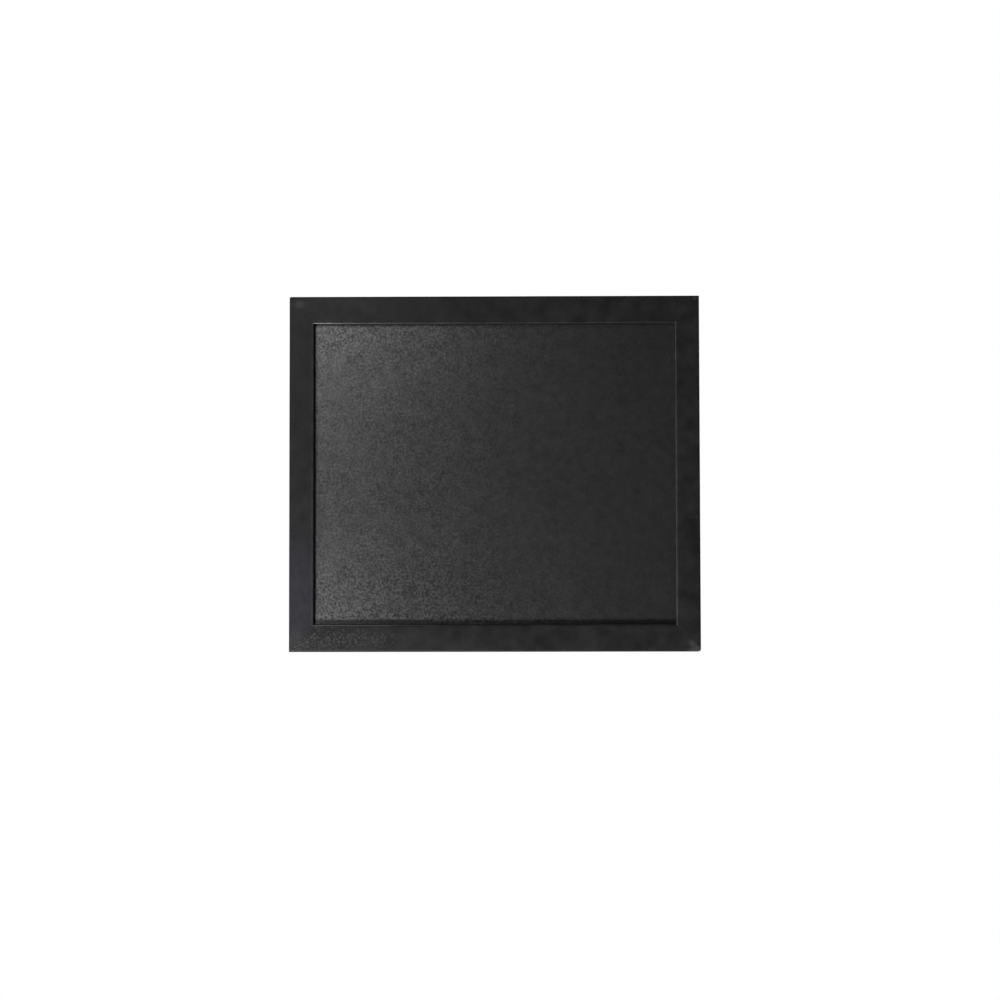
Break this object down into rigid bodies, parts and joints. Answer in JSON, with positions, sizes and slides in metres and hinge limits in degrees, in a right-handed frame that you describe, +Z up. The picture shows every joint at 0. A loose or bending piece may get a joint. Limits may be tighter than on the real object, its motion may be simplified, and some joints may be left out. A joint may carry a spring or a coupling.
{
  "type": "wall chalkboard",
  "caption": "Framed wall chalkboard: a mitred black-lacquered wooden frame round a fine-grained black writing panel, hung from swinging D rings on its back.",
  "frame": {"origin": "the middle of the top rail's back face, at the height of the wall hooks when the hanger rings are raised onto them", "axes": "+X to the right as seen from the front, +Y from the writing face towards the wall, +Z up"},
  "size_m": [0.2728, 0.0173, 0.2364],
  "materials": {
    "black_lacquer": "satin black lacquer on wood",
    "textured_black_laminate": "matt black with a fine pebbled grain",
    "brown_fibreboard": "bare pressed fibre",
    "zinc_plated_steel": "bright zinc plating",
    "grey_rubber": "matt moulded rubber"
  },
  "bodies": {
    "board": {"top_rail": "black_lacquer", "bottom_rail": "black_lacquer", "left_stile": "black_lacquer", "right_stile": "black_lacquer", "writing_laminate": "textured_black_laminate", "panel_core": "brown_fibreboard", "v_nail_top_left_1": "zinc_plated_steel", "v_nail_top_left_2": "zinc_plated_steel", "v_nail_top_right_1": "zinc_plated_steel", "v_nail_top_right_2": "zinc_plated_steel", "v_nail_bottom_left_1": "zinc_plated_steel", "v_nail_bottom_left_2": "zinc_plated_steel", "v_nail_bottom_right_1": "zinc_plated_steel", "v_nail_bottom_right_2": "zinc_plated_steel", "framing_point_top_1": "zinc_plated_steel", "framing_point_top_2": "zinc_plated_steel", "framing_point_top_3": "zinc_plated_steel", "framing_point_bottom_1": "zinc_plated_steel", "framing_point_bottom_2": "zinc_plated_steel", "framing_point_bottom_3": "zinc_plated_steel", "framing_point_left_1": "zinc_plated_steel", "framing_point_left_2": "zinc_plated_steel", "framing_point_right_1": "zinc_plated_steel", "framing_point_right_2": "zinc_plated_steel", "left_hanger_strap": "zinc_plated_steel", "right_hanger_strap": "zinc_plated_steel", "left_hanger_screw": "zinc_plated_steel", "right_hanger_screw": "zinc_plated_steel", "left_wall_bumper": "grey_rubber", "right_wall_bumper": "grey_rubber"},
    "left_ring": {"left_hanger_ring": "zinc_plated_steel"},
    "right_ring": {"right_hanger_ring": "zinc_plated_steel"}
  },
  "joints": [
    {"name": "left_ring_swing", "type": "hinge", "parent": "board", "child": "left_ring", "pos_m": [-0.1292, 0.0023, -0.0088], "axis": [1, 0, 0], "range_deg": [0, 180]},
    {"name": "right_ring_swing", "type": "hinge", "parent": "board", "child": "right_ring", "pos_m": [0.1292, 0.0023, -0.0088], "axis": [1, 0, 0], "range_deg": [0, 180]}
  ]
}
